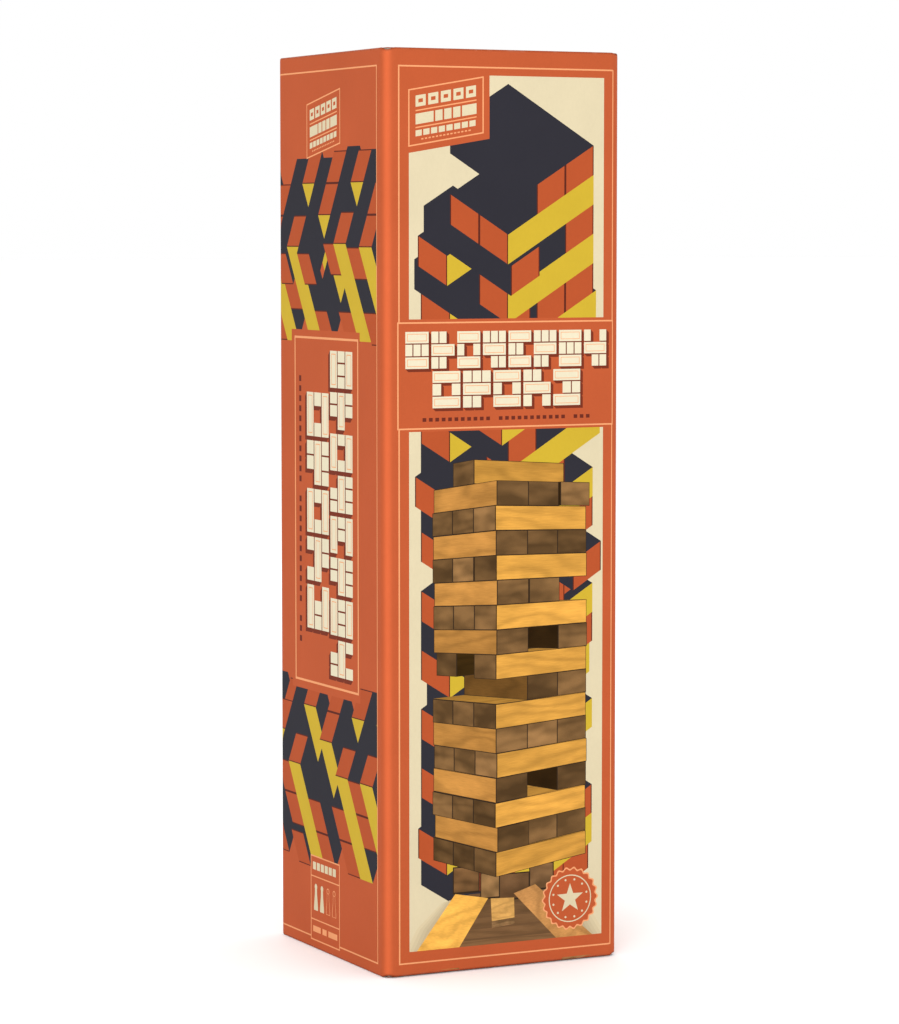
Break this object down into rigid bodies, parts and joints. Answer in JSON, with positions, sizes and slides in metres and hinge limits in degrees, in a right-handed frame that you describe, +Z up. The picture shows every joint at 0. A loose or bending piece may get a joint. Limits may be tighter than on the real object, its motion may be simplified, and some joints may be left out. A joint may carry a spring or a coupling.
{
  "type": "boxed wooden stacking tower game",
  "caption": "Upright square presentation box with a printed wrap, a paper-hinged front cover and closing flap, packed with layers of loose wooden blocks for a stacking game.",
  "frame": {"origin": "middle of the closed box's base, on the surface that it stands on", "axes": "+Z up along the box's height, -Y towards the front cover, +X towards the closing flap"},
  "size_m": [0.086, 0.086, 0.3],
  "materials": {
    "block_wood": "sanded, unfinished, eased edges",
    "greyboard": "pressed recycled board, matt",
    "printed_wrap": "offset-printed paper, matt film laminated",
    "lining_paper": "plain uncoated lining paper",
    "magnet_plating": "nickel plated",
    "kraft_card": "kraft card, matt",
    "leaflet_paper": "folded offset paper",
    "pad_card": "layered paper pad, matt"
  },
  "bodies": {
    "box": {"layer_01": "block_wood", "layer_02": "block_wood", "layer_03": "block_wood", "layer_04": "block_wood", "layer_05": "block_wood", "layer_06": "block_wood", "layer_07": "block_wood", "layer_08": "block_wood", "layer_09": "block_wood", "layer_10": "block_wood", "layer_11": "block_wood", "layer_12": "block_wood", "layer_13": "block_wood", "layer_14": "block_wood", "layer_15": "block_wood", "layer_16": "block_wood", "layer_17": "block_wood", "layer_18": "block_wood", "side_board": "greyboard", "back_board": "greyboard", "tray_left_wall": "greyboard", "tray_right_wall": "greyboard", "tray_back_wall": "greyboard", "tray_top_end": "greyboard", "tray_bottom_end": "greyboard", "case_wrap": "printed_wrap", "cover_fold": "printed_wrap", "tray_side_paper": "lining_paper", "tray_top_paper": "lining_paper", "tray_base_paper": "lining_paper", "tray_magnets": "magnet_plating", "stacking_sleeve": "kraft_card", "rules_leaflet": "leaflet_paper", "bottom_pad": "pad_card", "top_pad": "pad_card"},
    "cover": {"front_board": "greyboard", "front_wrap": "printed_wrap", "front_lining": "lining_paper", "flap_fold": "printed_wrap"},
    "flap": {"flap_board": "greyboard", "flap_wrap": "printed_wrap", "flap_lining": "lining_paper", "flap_magnets": "magnet_plating"}
  },
  "joints": [
    {"name": "cover_hinge", "type": "hinge", "parent": "box", "child": "cover", "pos_m": [-0.04214, -0.04214, 0.15], "axis": [0, 0, -1], "range_deg": [0, 180], "deforming": ["cover_fold"]},
    {"name": "flap_hinge", "type": "hinge", "parent": "cover", "child": "flap", "pos_m": [0.04214, -0.04214, 0.15], "axis": [0, 0, -1], "range_deg": [0, 90], "deforming": ["flap_fold"]}
  ]
}
